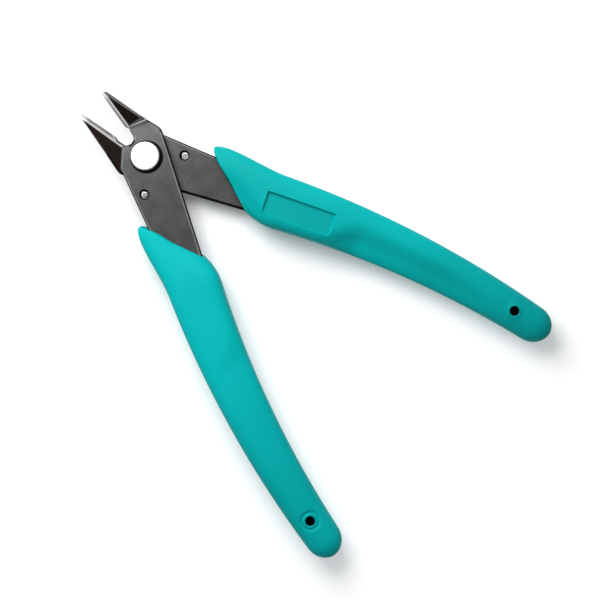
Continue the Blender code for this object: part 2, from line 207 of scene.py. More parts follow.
def edge_width(widths, y):
    """Width of a strip along the cutting edge, at a place along the jaw."""
    root, tip = widths
    return (root + (tip - root) * (y - EDGE_ROOT) / (EDGE_TIP - EDGE_ROOT)) * MM


def blade_finish(face):
    """Which finish a face of the blade has, from its slope and its place."""
    middle = face.calc_center_median()
    in_edge_shade = middle.y > EDGE_ROOT and middle.x < edge_width(EDGE_SHADE_W, middle.y)
    # The spring hole's walls and the painted-shade ring in it take the near-black finish.
    in_spring_hole = (middle.xy - SPRING_HOLE).length < SPRING_HOLE_NEAR and not is_flat(face)
    if middle.y < TANG_FROM or in_spring_hole:
        return BLANKED
    if is_flat(face):
        if middle.z > outer_level - WELD:
            return PLATE
        if middle.z > inner_level + WELD:
            return RELIEF
        if middle.y < STRIP_ROOT or middle.x < 0:
            return PLATE
        # The dark line at the very edge is painted shade.
        if in_edge_shade:
            return RUNOUT
        return LAPPED if middle.x < edge_width(HONED_STRIP_W, middle.y) else BURNISHED
    if face.normal.dot(facet_normal) > SAME_PLANE:
        return FACET if middle.y > FACET_ROOT else RUNOUT
    from_ridge = abs((middle.xy - RIDGE_FROM).cross(RIDGE_ALONG))
    if face.normal.z > NEARLY_FLAT and from_ridge < RIDGE_ROUND:
        return RIDGE
    if middle.y > EDGE_ROOT - EDGE_RUNOUT and face.normal.x < EDGE_RUNOUT_SIDE:
        if face.normal.z < UPRIGHT:
            return BLANKED
        # The dark line at the very edge is painted shade.
        if in_edge_shade:
            return TUMBLED
        if middle.x > edge_width(BRIGHT_BEVEL_W, middle.y):
            return FACET
        return HONED if middle.x < edge_width(HONED_BEVEL_W, middle.y) else POLISHED
    if middle.y > EDGE_ROOT and CHAMFER_UP[0] < face.normal.z < CHAMFER_UP[1]:
        return CHAMFER
    if middle.y > SHOULDER_FROM and (middle.xy - PIVOT_AT).length < HEAD_NEAR:
        return BLANKED
    # Rims on the drawing's left-hand side are painted bright over more of their rounding than the others,
    # a painted highlight on the side towards the lamp; the rims on the far side keep the near-black
    # finish, a painted shade.
    if face.normal.x < 0 and face.normal.y < RIM_AHEAD:
        # On the turned-over blade the flatter band of this rim is painted lighter, a painted highlight.
        if middle.y < 0 and face.normal.z < TURNED_RIM_UP[1]:
            return LAPPED if face.normal.z < TURNED_RIM_UP[0] else PLATE
        bright_up = RIM_UP_AHEAD if middle.y > 0 else RIM_UP_BEHIND
        return TUMBLED if abs(face.normal.z) > bright_up else BLANKED
    if face.normal.z > TOP_ROUND_UP:
        return PLATE if middle.y > SHOULDER_FROM else TUMBLED
    return BLANKED


def is_inner_face(face):
    return face.normal.z < -FLAT


def is_edge_strip(face):
    middle = face.calc_center_median()
    return is_inner_face(face) and middle.y > STRIP_ROOT and middle.x > 0


def is_edge_bevel(face):
    faces_edge = face.normal.x < EDGE_BEVEL_SIDE and face.normal.z > EDGE_BEVEL_UP
    return faces_edge and face.calc_center_median().y > EDGE_ROOT


def edge_cut(widths):
    """A point on the line where a strip along the edge ends, and the line's side direction."""
    root = Vector((edge_width(widths, EDGE_ROOT), EDGE_ROOT, 0))
    tip = Vector((edge_width(widths, EDGE_TIP), EDGE_TIP, 0))
    return root, (tip - root).cross((0, 0, 1)).normalized()


blade_blank = bpy.data.objects.new("blade_blank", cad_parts["front_blade"].data.copy())
blade_blank.data.transform(front_place.inverted())
blade_blank.data.materials.clear()
bpy.context.collection.objects.link(blade_blank)
pick_up(blade_blank)
bpy.ops.mesh.customdata_custom_splitnormals_clear()
open_up(blade_blank)
bpy.ops.mesh.remove_doubles(threshold=WELD)
bpy.ops.mesh.dissolve_limited(angle_limit=SEAM_ANGLE)
close_up()
inner_level = min(vert.co.z for vert in blade_blank.data.vertices)
outer_level = max(vert.co.z for vert in blade_blank.data.vertices)
plain_blade = placed_copy(blade_blank, "plain_blade", Matrix())

open_up(blade_blank)
select_where(blade_blank, "EDGE", is_tiny_arc)
bpy.ops.mesh.merge(type="COLLAPSE")
runout_corner = Vector((THROAT_SIDE, EDGE_ROOT, outer_level))
select_where(blade_blank, "VERT", lambda vert: (vert.co - runout_corner).length < CORNER_NEAR)
bpy.ops.transform.translate(value=(0, -EDGE_RUNOUT, 0))
facets = filter(is_facet, bmesh.from_edit_mesh(blade_blank.data).faces)
facet_normal = max(facets, key=lambda face: face.calc_area()).normal.copy()
for is_rounded, radius in ((is_ridge, RIDGE_ROUND), (is_outline_edge, TUMBLED_ROUND),
                           (is_spring_hole_edge, HOLE_ROUND)):
    select_where(blade_blank, "EDGE", is_rounded)
    bpy.ops.mesh.bevel(offset=radius, segments=ROUND_SEGMENTS, affect="EDGES", clamp_overlap=False,
                       loop_slide=False)
# A dark ring half-way down the spring's hole is painted shade: it stands in for the shadow deep in the
# hole round the wire.
bpy.ops.mesh.primitive_torus_add(location=(*SPRING_HOLE, (inner_level + outer_level) / 2),
                                 major_radius=SHADE_RING_R, minor_radius=SHADE_RING_R - SHADE_RING_BORE_R)
across_blade = Vector((0, 1, 0))
for (cut_at, cut_across), is_cut in (
        ((across_blade * TANG_FROM, across_blade), lambda face: True),
        ((across_blade * STRIP_ROOT, across_blade), is_inner_face),
        ((across_blade * EDGE_ROOT, across_blade), is_inner_face),
        ((across_blade * FACET_ROOT, across_blade), is_facet),
        (edge_cut(HONED_STRIP_W), is_edge_strip),
        (edge_cut(EDGE_SHADE_W), is_edge_strip),
        (edge_cut(BRIGHT_BEVEL_W), is_edge_bevel),
        (edge_cut(HONED_BEVEL_W), is_edge_bevel),
        (edge_cut(EDGE_SHADE_W), is_edge_bevel)):
    select_where(blade_blank, "FACE", is_cut)
    bpy.ops.mesh.bisect(plane_co=cut_at, plane_no=cut_across)
shape = bmesh.from_edit_mesh(blade_blank.data)
for face in shape.faces:
    face.material_index = blade_finish(face)
bmesh.update_edit_mesh(blade_blank.data)
close_up()
bpy.ops.object.shade_smooth_by_angle(angle=SMOOTH_UNDER)
for face in blade_blank.data.polygons:
    face.use_smooth = face.material_index in (TUMBLED, BLANKED)


def new_group(name, inputs, output):
    """A shader node group with named inputs and one number as output, and its two end nodes."""
    group = bpy.data.node_groups.new(name, "ShaderNodeTree")
    for socket, kind, value in inputs:
        group.interface.new_socket(socket, in_out="INPUT", socket_type=kind).default_value = value
    group.interface.new_socket(output, in_out="OUTPUT", socket_type="NodeSocketFloat")
    return group, group.nodes.new("NodeGroupInput"), group.nodes.new("NodeGroupOutput")


def add_node(tree, kind, inputs=(), **settings):
    """Adds a node, sets its options, and links or sets its inputs."""
    node = tree.nodes.new(kind)
    for name, value in settings.items():
        setattr(node, name, value)
    for socket, value in dict(inputs).items():
        if isinstance(value, bpy.types.NodeSocket):
            tree.links.new(value, node.inputs[socket])
        else:
            node.inputs[socket].default_value = value
    return node


# Drawn and ground metal: fine lines along one direction, shared by the blades and the spring.
drawn_lines, given, result = new_group("drawn_lines", (
    ("Stretch", "NodeSocketVector", (1, 1, 1)),
    ("Fineness", "NodeSocketFloat", 4000)), "Lines")
place = add_node(drawn_lines, "ShaderNodeTexCoord")
stretched_place = add_node(drawn_lines, "ShaderNodeMapping", {
    "Vector": place.outputs["Object"], "Scale": given.outputs["Stretch"]})
noise = add_node(drawn_lines, "ShaderNodeTexNoise", {
    "Vector": stretched_place.outputs["Vector"], "Scale": given.outputs["Fineness"], "Detail": 3.0})
drawn_lines.links.new(noise.outputs["Fac"], result.inputs["Lines"])

# Uneven surface: soft patches with a finer speckle in them, shared by most finishes.
mottle, given, result = new_group("mottle", (
    ("Patches", "NodeSocketFloat", 150),
    ("Speckle", "NodeSocketFloat", 3000),
    ("Speckle Share", "NodeSocketFloat", 0.3)), "Mottle")
place = add_node(mottle, "ShaderNodeTexCoord")
patches = add_node(mottle, "ShaderNodeTexNoise", {
    "Vector": place.outputs["Object"], "Scale": given.outputs["Patches"], "Detail": 2.0})
speckle = add_node(mottle, "ShaderNodeTexNoise", {
    "Vector": place.outputs["Object"], "Scale": given.outputs["Speckle"], "Detail": 2.0})
both = add_node(mottle, "ShaderNodeMix", {
    "Factor": given.outputs["Speckle Share"], "A": patches.outputs["Fac"], "B": speckle.outputs["Fac"]})
mottle.links.new(both.outputs["Result"], result.inputs["Mottle"])


def new_finish(name, metallic):
    material = bpy.data.materials.new(name)
    material.use_nodes = True
    shader = material.node_tree.nodes["Principled BSDF"]
    shader.inputs["Metallic"].default_value = metallic
    return material, material.node_tree, shader


def effect(tree, group, **inputs):
    node = add_node(tree, "ShaderNodeGroup", node_tree=group)
    for socket, value in inputs.items():
        node.inputs[socket.replace("_", " ")].default_value = value
    return node.outputs[0]


MASK_LOW = 0.3                   # most of a noise mask lies between these
MASK_HIGH = 0.7


def share_by_place(tree, middle, reach, shares):
    """A share that changes with the level distance from a place."""
    place = add_node(tree, "ShaderNodeTexCoord")
    level_place = add_node(tree, "ShaderNodeVectorMath", operation="MULTIPLY")
    tree.links.new(place.outputs["Object"], level_place.inputs[0])
    level_place.inputs[1].default_value = (1, 1, 0)
    away = add_node(tree, "ShaderNodeVectorMath", operation="DISTANCE")
    tree.links.new(level_place.outputs["Vector"], away.inputs[0])
    away.inputs[1].default_value = middle
    return add_node(tree, "ShaderNodeMapRange", {
        "Value": away.outputs["Value"], "From Min": reach[0], "From Max": reach[1],
        "To Min": shares[0], "To Max": shares[1]}).outputs["Result"]


def colour_between(tree, shader, mask, low, high, shades=()):
    """Feeds the base colour from a mask between two colours, darker or paler near some places."""
    ramp = add_node(tree, "ShaderNodeValToRGB", {"Fac": mask})
    ramp.color_ramp.elements[0].position = MASK_LOW
    ramp.color_ramp.elements[0].color = (*low, 1)
    ramp.color_ramp.elements[1].position = MASK_HIGH
    ramp.color_ramp.elements[1].color = (*high, 1)
    colour = ramp.outputs["Color"]
    for middle, reach, shares in shades:
        shaded = add_node(tree, "ShaderNodeMix", data_type="RGBA", blend_type="MULTIPLY")
        shaded.inputs[0].default_value = 1.0
        tree.links.new(colour, shaded.inputs[6])
        tree.links.new(share_by_place(tree, middle, reach, shares), shaded.inputs[7])
        colour = shaded.outputs[2]
    tree.links.new(colour, shader.inputs["Base Color"])


def gloss_between(tree, shader, mask, low, high):
    spread = add_node(tree, "ShaderNodeMapRange", {
        "Value": mask, "From Min": MASK_LOW, "From Max": MASK_HIGH, "To Min": low, "To Max": high})
    tree.links.new(spread.outputs["Result"], shader.inputs["Roughness"])


def relief(tree, shader, mask, depth):
    bump = add_node(tree, "ShaderNodeBump", {"Height": mask, "Distance": depth, "Strength": 1.0})
    tree.links.new(bump.outputs["Normal"], shader.inputs["Normal"])


STEEL = Vector((1.0, 0.985, 0.97))  # tints of the steel, against a neutral grey
GROUND = Vector((1.0, 0.72, 0.64))
FINE_RELIEF = 0.0012 * MM
# A finish of the blade: tint, metal or oxide, dark to light, smooth to rough, and the stretch and
# fineness of its lines.
BLADE_FINISHES = (
    ("phosphated_plate", STEEL, 1.0, 0.031, 0.055, 0.32, 0.42, (1, 0.06, 1), 3000),
    # The near-black of the ground facet, its runout and the ground relief is a painted dark reflection:
    # these smooth ground faces are drawn as if they mirrored dark surroundings.
    ("ground_facet", GROUND, 1.0, 0.0012, 0.0027, 0.30, 0.42, (0.05, 1, 1), 5000),
    ("facet_runout", STEEL, 1.0, 0.010, 0.017, 0.30, 0.42, (0.05, 1, 1), 5000),
    ("worn_ridge", STEEL, 1.0, 0.105, 0.14, 0.30, 0.42, (1, 1, 1), 2500),
    ("ground_relief", GROUND, 1.0, 0.0038, 0.0072, 0.30, 0.42, (0.05, 1, 1), 5000),
    ("polished_bevel", STEEL, 1.0, 0.68, 0.76, 0.20, 0.32, (1, 0.05, 1), 6000),
    ("honed_bevel", STEEL, 1.0, 0.30, 0.36, 0.25, 0.36, (1, 0.04, 1), 7000),
    ("burnished_strip", STEEL, 1.0, 0.115, 0.14, 0.25, 0.36, (1, 0.05, 1), 6000),
    ("lapped_strip", STEEL, 1.0, 0.052, 0.066, 0.25, 0.36, (1, 0.04, 1), 7000),
    ("jaw_chamfer", STEEL, 1.0, 0.10, 0.15, 0.30, 0.42, (1, 0.06, 1), 4000),
    ("tumbled_edge", STEEL, 1.0, 0.12, 0.18, 0.34, 0.46, (1, 1, 1), 2500),
    ("blanked_side", STEEL, 0.0, 0.003, 0.007, 0.50, 0.65, (1, 1, 0.04), 4000))
OXIDE_SHINE = 0.02
# Shades by place, each with a middle, a reach and the shares at its two ends. The plate is paler near
# the jaws, which is painted light. A dark ring round the rivet's head and a dark line along the foot of
# the facet's ridge are painted shadows. The honed bevel and the strips along the edge are brightest at
# the tips, which is a painted highlight. A middle that lies far off gives a nearly straight band.
PALER_PLATE = (Vector((4.3, 4.6, 0)) * MM, (3.0 * MM, 9.5 * MM), (1.35, 1.0))
HEAD_SHADOW = (Vector((0.1, -0.26, 0)) * MM, (4.06 * MM, 4.22 * MM), (0.06, 1.0))
RIDGE_SHADOW = (Vector((-37.5, -83.66, 0)) * MM, (99.0 * MM, 99.5 * MM), (1.0, 0.5))
TIP_HIGHLIGHT = (Vector((0, -100, 0)) * MM, (116.9 * MM, 118.4 * MM), (1.0, 2.4))
PLACED_SHADES = {
    "phosphated_plate": (PALER_PLATE, HEAD_SHADOW, RIDGE_SHADOW),
    "honed_bevel": (TIP_HIGHLIGHT,),
    "lapped_strip": (TIP_HIGHLIGHT,),
    "burnished_strip": (TIP_HIGHLIGHT,)}

for name, tint, metallic, dark, light, smooth, rough, stretch, fineness in BLADE_FINISHES:
    material, tree, shader = new_finish(name, metallic)
    shader.inputs["Specular IOR Level"].default_value = OXIDE_SHINE
    lines = effect(tree, drawn_lines, Stretch=stretch, Fineness=fineness)
    patches = effect(tree, mottle, Patches=260, Speckle=3500, Speckle_Share=0.45)
    colour_between(tree, shader, patches, tint * dark, tint * light, PLACED_SHADES.get(name, ()))
    gloss_between(tree, shader, lines, smooth, rough)
    relief(tree, shader, lines, FINE_RELIEF)
    blade_blank.data.materials.append(material)


def fit_jaw(blade, fit):
    """Shifts a jaw a little, by so much at its edge and so much at its outer side."""
    for vert in blade.data.vertices:
        along = vert.co.y
        jaw_width = JAW_W * (EDGE_TIP - along) / (EDGE_TIP - EDGE_ROOT) + MM
        across = min(max(vert.co.x / jaw_width, 0), 1)
        for start, blend, edge_shift, outer_shift, back in fit:
            share = min(max((along / MM - start) / blend, 0), 1) * MM
            vert.co.x += (edge_shift + (outer_shift - edge_shift) * across) * share
            vert.co.y -= back * share


for name, node, body, jaw_fit, place in (
        ("front_shear_blade", "front_blade", "front_half", FRONT_JAW_FIT, front_place),
        ("rear_shear_blade", "rear_blade", "rear_half", REAR_JAW_FIT, rear_place)):
    blade = placed_copy(blade_blank, name, Matrix())
    fit_jaw(blade, jaw_fit)
    blade.data.transform(place)
    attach(blade, body)
    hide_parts(node)
bpy.data.objects.remove(blade_blank)

# The pivot rivet is turned from steel and brightly plated. Its broad flat head lies on the front
# blade, its shank runs through both plates, and its tail is spread into the collar behind them.
HEAD_R = 3.58 * MM
HEAD_SIDE_R = 3.5 * MM
HEAD_EDGE = 0.45 * MM
HEAD_CROWN = 0.05 * MM
HEAD_SEAT = 0.03 * MM            # left between the head and the blade under it
SHANK_R = 2.4 * MM
TAIL_R = 1.6 * MM
TAIL_FLARE = 0.55 * MM
TAIL_DIMPLE = 0.25 * MM
TURN_STEPS = 96
PLATED_UP = 0.93                 # faces less level than this show the turned side's finish


def turned_piece(name, profile):
    """A piece turned round the pivot's axis from (radius, height) points."""
    bpy.ops.mesh.primitive_plane_add(size=MM)
    piece = bpy.context.object
    piece.name = name
    open_up(piece)
    bpy.ops.mesh.merge(type="CENTER")
    here = Vector((profile[0][0], 0, profile[0][1]))
    bpy.ops.transform.translate(value=here)
    for radius, height in profile[1:]:
        there = Vector((radius, 0, height))
        bpy.ops.mesh.extrude_vertices_move(TRANSFORM_OT_translate={"value": there - here})
        here = there
    bpy.ops.mesh.select_all(action="SELECT")
    bpy.ops.mesh.spin(steps=TURN_STEPS, angle=2 * math.pi, center=(0, 0, 0), axis=(0, 0, 1))
    bpy.ops.mesh.select_all(action="SELECT")
    bpy.ops.mesh.remove_doubles(threshold=WELD)
    bpy.ops.mesh.normals_make_consistent(inside=False)
    close_up()
    bpy.ops.object.shade_smooth_by_angle(angle=SMOOTH_UNDER)
    return piece


def corner_arc(radius, height, size, start, steps=4):
    """Points of a quarter round about a corner's centre, from a start angle, turning clockwise."""
    for step in range(steps + 1):
        angle = math.radians(start - 90 * step / steps)
        yield radius + size * math.cos(angle), height + size * math.sin(angle)


head_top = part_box("pivot_rivet")[1].z
tail_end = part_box("pivot_rivet")[0].z
plate_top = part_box("front_blade")[1].z
plate_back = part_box("rear_blade")[0].z
rivet = turned_piece("plated_rivet", [
    (0, head_top),
    (HEAD_R * 0.5, head_top - HEAD_CROWN * 0.3),
    *corner_arc(HEAD_R - HEAD_EDGE, head_top - HEAD_CROWN - HEAD_EDGE, HEAD_EDGE, 90),
    (HEAD_SIDE_R, plate_top + HEAD_SEAT + HEAD_EDGE / 2),
    (HEAD_SIDE_R - HEAD_EDGE / 2, plate_top + HEAD_SEAT),
    (SHANK_R, plate_top + HEAD_SEAT),
    (SHANK_R, plate_back),
    (TAIL_R, plate_back),
    (TAIL_R, tail_end + TAIL_FLARE),
    (TAIL_R + TAIL_FLARE * 0.9, tail_end + TAIL_FLARE * 0.12),
    (TAIL_R + TAIL_FLARE * 0.7, tail_end),
    (TAIL_R * 0.75, tail_end),
    (TAIL_R * 0.5, tail_end + TAIL_DIMPLE * 0.6),
    (0, tail_end + TAIL_DIMPLE)])

# Lathe marks: faint rings about the pivot's axis, shared by the rivet and its collar.
lathe_marks, given, result = new_group("lathe_marks", (
    ("Fineness", "NodeSocketFloat", 900), ("Wander", "NodeSocketFloat", 1.5)), "Marks")
place = add_node(lathe_marks, "ShaderNodeTexCoord")
rings = add_node(lathe_marks, "ShaderNodeTexWave", {
    "Vector": place.outputs["Object"], "Scale": given.outputs["Fineness"],
    "Distortion": given.outputs["Wander"], "Detail": 3.0}, wave_type="RINGS", rings_direction="Z")
lathe_marks.links.new(rings.outputs["Fac"], result.inputs["Marks"])

PLATING, TURNED_SIDE = range(2)
for name, metallic, dark, light, smooth, rough in (
        ("bright_plating", 1.0, 0.90, 0.95, 0.24, 0.34),
        ("turned_side", 0.3, 0.42, 0.54, 0.30, 0.42)):
    material, tree, shader = new_finish(name, metallic)
    marks = effect(tree, lathe_marks, Fineness=1400, Wander=2.0)
    patches = effect(tree, mottle, Patches=400, Speckle=4000)
    colour_between(tree, shader, patches, (dark,) * 3, (light,) * 3)
    gloss_between(tree, shader, patches, smooth, rough)
    relief(tree, shader, marks, FINE_RELIEF)
    rivet.data.materials.append(material)
for face in rivet.data.polygons:
    face.material_index = TURNED_SIDE if abs(face.normal.z) < PLATED_UP else PLATING
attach(rivet, "rear_half")
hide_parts("pivot_rivet")

# The collar is a turned and plated steel ring behind the rear blade. The spring's bow lies round its
# hub, its flange keeps the wire in, and the rivet's spread tail holds it on.
HUB_R = 3.0 * MM
FLANGE_T = 0.5 * MM
FLANGE_EDGE = 0.12 * MM
COLLAR_BORE_R = 1.65 * MM
COLLAR_SINK = 0.6 * MM
collar_low, collar_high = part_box("spring_collar")
collar = turned_piece("plated_collar", [
    (COLLAR_BORE_R, collar_high.z),
    (HUB_R - FLANGE_EDGE, collar_high.z),
    (HUB_R, collar_high.z - FLANGE_EDGE),
    (HUB_R, collar_low.z + FLANGE_T + FLANGE_EDGE),
    (HUB_R + FLANGE_EDGE, collar_low.z + FLANGE_T),
    *corner_arc(collar_high.x - FLANGE_EDGE, collar_low.z + FLANGE_T - FLANGE_EDGE, FLANGE_EDGE, 90),
    *corner_arc(collar_high.x - FLANGE_EDGE, collar_low.z + FLANGE_EDGE, FLANGE_EDGE, 0),
    (COLLAR_BORE_R + COLLAR_SINK, collar_low.z),
    (COLLAR_BORE_R, collar_low.z + COLLAR_SINK),
    (COLLAR_BORE_R, collar_high.z)])
collar.data.materials.append(rivet.data.materials[PLATING])
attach(collar, "rear_half")
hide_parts("spring_collar")

# The return spring is one length of drawn steel wire, bent to a hairpin round the collar. Its two
# ends stand up through the holes in the blades, and are spread a little so that they stay there.
WIRE_R = 0.8 * MM
LOOP_R = 3.95 * MM
BEND_R = 1.6 * MM
REAR_END_SPREAD = 1.14           # size of the wire's end, over the wire's
FRONT_END_SPREAD = 0.92
END_BUTTON_H = 0.35 * MM
END_EDGE = 0.18 * MM
END_RIM_ANGLE = math.radians(60)
END_REACH = 1.2 * WIRE_R         # the cut face lies this close to the end of the wire's route
END_FACE_UP = 0.99
REAR_END_SINK = 0.35 * MM        # below the face of the blade that it comes up through
FRONT_END_SINK = 0.05 * MM
REAR_END_SHIFT = Vector((0.0, -0.26)) * MM
FRONT_END_SHIFT = Vector((0.0, 0.03)) * MM
BEND_STEPS = 10
BOW_STEPS = 24
wire_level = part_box("return_spring")[0].z + WIRE_R


def spring_side(side, shift, end_level):
    """Half of the wire's route, from its upright end down and round to the middle of the bow."""
    hole = Matrix.Rotation(OPEN_HALF, 2) @ Vector((PIVOT_AT.x - SPRING_HOLE.x, SPRING_HOLE.y - PIVOT_AT.y))
    foot = Vector((side * hole.x, hole.y)) + shift
    leave = math.atan2(hole.y, hole.x) + math.acos(LOOP_R / hole.length)
    tangent = Vector((side * math.cos(leave), math.sin(leave))) * LOOP_R
    inward = (tangent - foot).normalized()
    route = [Vector((*foot, end_level)), Vector((*foot, end_level - END_BUTTON_H))]
    for step in range(BEND_STEPS + 1):
        angle = math.pi / 2 * step / BEND_STEPS
        flat = foot + inward * BEND_R * (1 - math.cos(angle))
        route.append(Vector((*flat, wire_level + BEND_R * (1 - math.sin(angle)))))
    for step in range(BOW_STEPS):
        angle = leave + (math.pi / 2 - leave) * step / BOW_STEPS
        route.append(Vector((side * math.cos(angle) * LOOP_R, math.sin(angle) * LOOP_R, wire_level)))
    return route


rear_side = spring_side(1, REAR_END_SHIFT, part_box("rear_blade")[1].z - REAR_END_SINK)
front_side = spring_side(-1, FRONT_END_SHIFT, plate_top - FRONT_END_SINK)
route = rear_side + [Vector((0, LOOP_R, wire_level))] + front_side[::-1]
wire = bpy.data.curves.new("drawn_wire_spring", "CURVE")
wire.dimensions = "3D"
wire.bevel_depth = WIRE_R
wire.bevel_resolution = 6
wire.use_fill_caps = True
spline = wire.splines.new("POLY")
spline.points.add(len(route) - 1)
for point, place in zip(spline.points, route):
    point.co = (*place, 1)
spline.points[0].radius = REAR_END_SPREAD
spline.points[-1].radius = FRONT_END_SPREAD
spring = bpy.data.objects.new("drawn_wire_spring", wire)
bpy.context.collection.objects.link(spring)
pick_up(spring)
bpy.ops.object.convert(target="MESH")
spring = bpy.context.object
open_up(spring)
bpy.ops.mesh.remove_doubles(threshold=WELD)
bpy.ops.mesh.normals_make_consistent(inside=False)


def is_end_rim(edge):
    return len(edge.link_faces) == 2 and edge.calc_face_angle() > END_RIM_ANGLE


select_where(spring, "EDGE", is_end_rim)
bpy.ops.mesh.bevel(offset=END_EDGE, segments=ROUND_SEGMENTS, affect="EDGES")
close_up()
bpy.ops.object.shade_smooth_by_angle(angle=SMOOTH_UNDER)

wire_steel, tree, shader = new_finish("drawn_wire", 1.0)
lines = effect(tree, drawn_lines, Stretch=(0.1, 1, 1), Fineness=4000)
patches = effect(tree, mottle, Patches=500, Speckle=3500)
colour_between(tree, shader, patches, (0.48, 0.48, 0.48), (0.60, 0.60, 0.60))
gloss_between(tree, shader, lines, 0.24, 0.36)
relief(tree, shader, lines, 0.002 * MM)
cut_wire, tree, shader = new_finish("cut_wire_end", 1.0)
lines = effect(tree, drawn_lines, Stretch=(0.1, 1, 1), Fineness=5000)
colour_between(tree, shader, lines, (0.12, 0.12, 0.12), (0.17, 0.17, 0.17))
gloss_between(tree, shader, lines, 0.35, 0.5)
relief(tree, shader, lines, 0.001 * MM)
DRAWN, CUT = range(2)
spring.data.materials.append(wire_steel)
spring.data.materials.append(cut_wire)
for face in spring.data.polygons:
    from_end = min((face.center - end).length for end in (route[0], route[-1]))
    is_cut_face = from_end < END_REACH and face.normal.z > END_FACE_UP
    face.material_index = CUT if is_cut_face else DRAWN
    if is_cut_face:
        face.use_smooth = False
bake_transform(spring)
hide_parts("return_spring")

# The two grips are one moulding in satin teal plastic, used twice, the second one turned over.
# Each is moulded onto its blade's tang. One face has a sunk panel, and a pin that held the tang in
# the mould has left a hole near the end, with a shallow ring round it on the other face.
PALM_START = 35.0
PALM_SPREAD = 8.53
PALM_LEAN = math.radians(14.97)
HANDLE_BOW_R = 262.0
AXIS_END = 103.8
TAIL_START = 82.0
END_ROUND = 5.2
END_TURN = math.radians(80)
END_FULLNESS = 0.6
PALM_W = 13.54
END_W = 9.17
PALM_H = 5.05                    # half of the grip's thickness
MOUTH_H = 4.3
END_H = 4.3
MOUTH_OUTER = (-11.0, -13.6)
MOUTH_OUTER_PULL = (-9.7, -5.0)
MOUTH_INNER = (-2.0, -28.97)
MOUTH_INNER_PULL = (2.2, -8.0)
MOUTH_AHEAD = Vector((0.385, 0.923))
MOUTH_LEAN = 0.164               # how far the mouth leans forward, over its height
MOUTH_FACING = Vector((0.869, 0.496))
MOUTH_BULGE = 0.45
BULGE_AT = -0.55                 # where the mouth bulges most, from -1 outside to 1 inside
BULGE_REACH = 0.45
PALM_OUTER_PULL = 19.5
PALM_INNER_PULL = 7.8
LIP_DEPTH = 1.4                  # of the mouth's rounded lip, along the grip
LIP_RISE = 1.8
LIP_SIDE = 1.2
LIP_STEPS = 10
MOUTH_STEPS = 28
PALM_STEPS = 96
END_STEPS = 12
AROUND = 96
PALM_POWER = 4.6                 # how square the section is
END_POWER = 2.6
DOME = 0.2                       # of the top, between its edges
CREST_MOUTH = -0.3               # where the flat top breaks, from -1 outside to 1 inside
CREST_FRONT = 0.62
CREST_MIDDLE = -0.16
CREST_SOFTNESS = 0.4
FALL_MOUTH = 0.22                # of the face inside the crest
FALL_FRONT = 0.2
FALL_MIDDLE = 0.67
FALL_END = 0.2
FALL_PLAIN = 0.4                 # share of the fall on the face without the panel
FALL_REACH = 3.2                 # past the crest, beyond which the face levels out
FALL_LEVEL = 0.6                 # share of the fall that is lost there
BEHIND_PANEL = (45.0, 12.0)      # where along the grip crest and fall change, and over how long
TOWARDS_END = (76.0, 24.0)
PIN_AT = 98.2
PIN_HOLE_R = 1.2
PIN_PATCH = 3.0
PIN_SKIN_OVER = 2.0              # the skin's faces lie further from the middle than this
PIN_WALL_UNDER = 4.0             # and the hole's walls nearer than this
RINGED_FLOOR = 1.5               # level of the hole's floor on each face
PLAIN_FLOOR = -1.0
PANEL_AT = 40.05
PANEL_SHIFT = 1.42
PANEL_L = 18.1
PANEL_W = 6.25
PANEL_DEPTH = 0.85
PANEL_DRAFT = 0.48               # of the panel's walls, seen from above
PANEL_CORNER = 0.25
PANEL_CORNER_SEGMENTS = 4
PANEL_REACH = 1.0                # height of the cutter that sinks the panel
TANG_FIT = 0.05
GRIP_SMOOTH_UNDER = math.radians(32)
PLASTIC_SHINE = 0.07


def apply_modifier(piece, kind, **settings):
    modifier = piece.modifiers.new(kind.title(), kind)
    for name, value in settings.items():
        setattr(modifier, name, value)
    pick_up(piece)
    bpy.ops.object.modifier_apply(modifier=modifier.name)


def mix(start, end, share):
    return start + (end - start) * share


def ease(share):
    share = min(max(share, 0.0), 1.0)
    return share * share * (3 - 2 * share)


def hermite(start, start_pull, end, end_pull, share):
    """Point on a smooth curve between two points, leaving and arriving along the pulls."""
    a = (1 + 2 * share) * (1 - share) ** 2
    b = share * (1 - share) ** 2
    c = share * share * (3 - 2 * share)
    d = share * share * (share - 1)
    return Vector(start) * a + Vector(start_pull) * b + Vector(end) * c + Vector(end_pull) * d


def spine(along):
    """Point and inward direction of the handle's bowed middle line, below the pivot."""
    lean = math.asin(math.sin(PALM_LEAN) - (along - PALM_START) / HANDLE_BOW_R)
    x = HANDLE_BOW_R * (math.cos(PALM_LEAN) - math.cos(lean)) - PALM_SPREAD
    return Vector((x, -along)), Vector((math.cos(lean), -math.sin(lean)))


def palm_section(along):
    """Outer point, inner point, half height, section power, crest, fall and lean at a place along."""
    middle, inward = spine(along)
    side = inward * mix(PALM_W, END_W, (along - PALM_START) / (AXIS_END - PALM_START)) / 2
    height = mix(PALM_H, END_H, ease((along - TAIL_START) / (AXIS_END - TAIL_START)))
    power = mix(PALM_POWER, END_POWER, (along - PALM_START) / (AXIS_END - PALM_START))
    behind_panel = ease((along - BEHIND_PANEL[0]) / BEHIND_PANEL[1])
    to_end = ease((along - TOWARDS_END[0]) / TOWARDS_END[1])
    crest = mix(mix(CREST_FRONT, CREST_MIDDLE, behind_panel), 0.0, to_end)
    fall = mix(mix(FALL_FRONT, FALL_MIDDLE, behind_panel), FALL_END, to_end)
    return middle - side, middle + side, height, power, crest, fall, Vector((0, 0))


